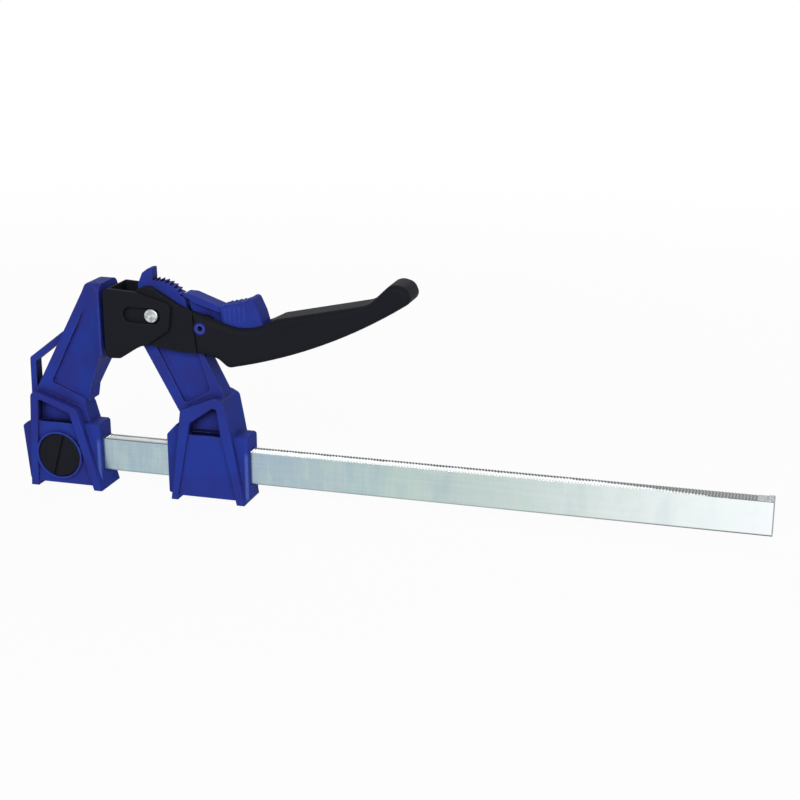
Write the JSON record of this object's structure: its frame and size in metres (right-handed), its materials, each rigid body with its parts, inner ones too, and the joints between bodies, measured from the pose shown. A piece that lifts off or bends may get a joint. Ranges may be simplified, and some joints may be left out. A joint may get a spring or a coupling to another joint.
{
  "type": "lever clamp",
  "caption": "Ratchet lever bar clamp: a flat steel bar, a fixed jaw, and a sliding jaw whose hand lever drives a pressure shoe and locks by a sprung trigger.",
  "frame": {"origin": "centre of the fixed jaw's clamping face", "axes": "+X along the bar to its free end, +Y through the clamp's width away from the lock disc, +Z from the bar to the tips of the jaws"},
  "size_m": [0.3743, 0.023, 0.1162],
  "materials": {
    "plated_steel": "bright zinc plating",
    "blue_plastic": "moulded, satin",
    "black_plastic": "moulded, fine texture",
    "plain_steel": "ground",
    "spring_steel": "drawn wire"
  },
  "bodies": {
    "frame": {"bar": "plated_steel", "fixed_jaw": "blue_plastic"},
    "lock": {"lock_disc": "black_plastic", "lock_pin": "plain_steel", "lock_ring": "spring_steel"},
    "slider": {"sliding_jaw": "blue_plastic", "bite_plate": "plain_steel", "heel_plate": "plain_steel", "pivot_pin": "plain_steel"},
    "lever": {"lever": "black_plastic", "trigger_pin": "blue_plastic", "trigger_spring": "spring_steel"},
    "trigger": {"trigger": "blue_plastic"},
    "shoe": {"shoe": "black_plastic"}
  },
  "joints": [
    {"name": "jaw_slide", "type": "slide", "parent": "frame", "child": "slider", "axis": [1, 0, 0], "range_m": [-0.002, 0.246]},
    {"name": "lock_turn", "type": "hinge", "parent": "frame", "child": "lock", "pos_m": [-0.0271, 0, -0.0711], "axis": [0, 1, 0], "range_deg": [0, 90]},
    {"name": "lever_swing", "type": "hinge", "parent": "slider", "child": "lever", "pos_m": [0.0274, 0, 0.0054], "axis": [0, -1, 0], "range_deg": [0, 54]},
    {"name": "shoe_slide", "type": "slide", "parent": "slider", "child": "shoe", "axis": [1, 0, 0], "range_m": [0, 0.0074]},
    {"name": "trigger_press", "type": "hinge", "parent": "lever", "child": "trigger", "pos_m": [0.0523, 0, 0.0005], "axis": [0, 1, 0], "range_deg": [-4.2, 3], "stiffness_Nm_per_rad": 0.2, "springref_deg": -4.2, "deforming": ["trigger_spring"]}
  ],
  "couplings": [
    {"joint": "shoe_slide", "follows": "lever_swing", "m_per_rad": 0.0076394}
  ]
}
